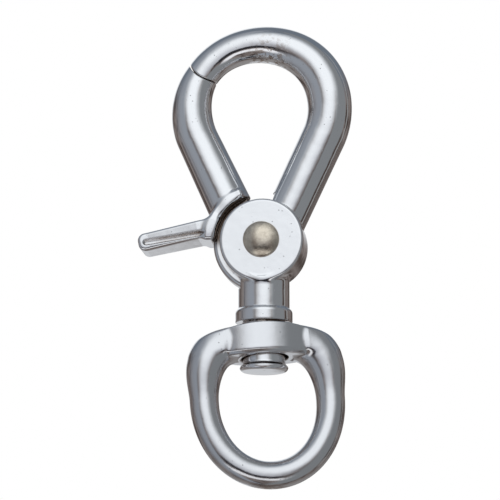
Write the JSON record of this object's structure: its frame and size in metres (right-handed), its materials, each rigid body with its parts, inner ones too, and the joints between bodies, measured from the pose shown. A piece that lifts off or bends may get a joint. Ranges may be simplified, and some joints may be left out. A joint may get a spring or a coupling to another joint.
{
  "type": "swivel trigger snap",
  "caption": "Chrome-plated trigger snap: a round hook loop shut by a sprung gate with a thumb lever, over a D-shaped swivelling eye on a short neck.",
  "frame": {"origin": "the point of the swivel's axis that is level with the middle of the eye's opening", "axes": "+Z from the eye to the hook loop, -Y the front face with the domed rivet head, -X the side of the trigger's lever"},
  "size_m": [0.0551, 0.0176, 0.1217],
  "materials": {
    "chrome_plate": "bright chrome plate over a smooth casting, with a slight ripple",
    "rivet_steel": "satin, warm grey",
    "spring_steel": "drawn wire"
  },
  "bodies": {
    "hook": {"hook_body": "chrome_plate", "pivot_rivet": "rivet_steel", "trigger_spring": "spring_steel"},
    "trigger": {"trigger": "chrome_plate"},
    "eye": {"swivel_eye": "chrome_plate"}
  },
  "joints": [
    {"name": "trigger_pivot", "type": "hinge", "parent": "hook", "child": "trigger", "pos_m": [0, 0, 0.045], "axis": [0, -1, 0], "range_deg": [0, 30], "stiffness_Nm_per_rad": 0.2, "deforming": ["trigger_spring"]},
    {"name": "eye_swivel", "type": "hinge", "parent": "hook", "child": "eye", "pos_m": [0, 0, 0.02], "axis": [0, 0, 1], "continuous": true}
  ]
}
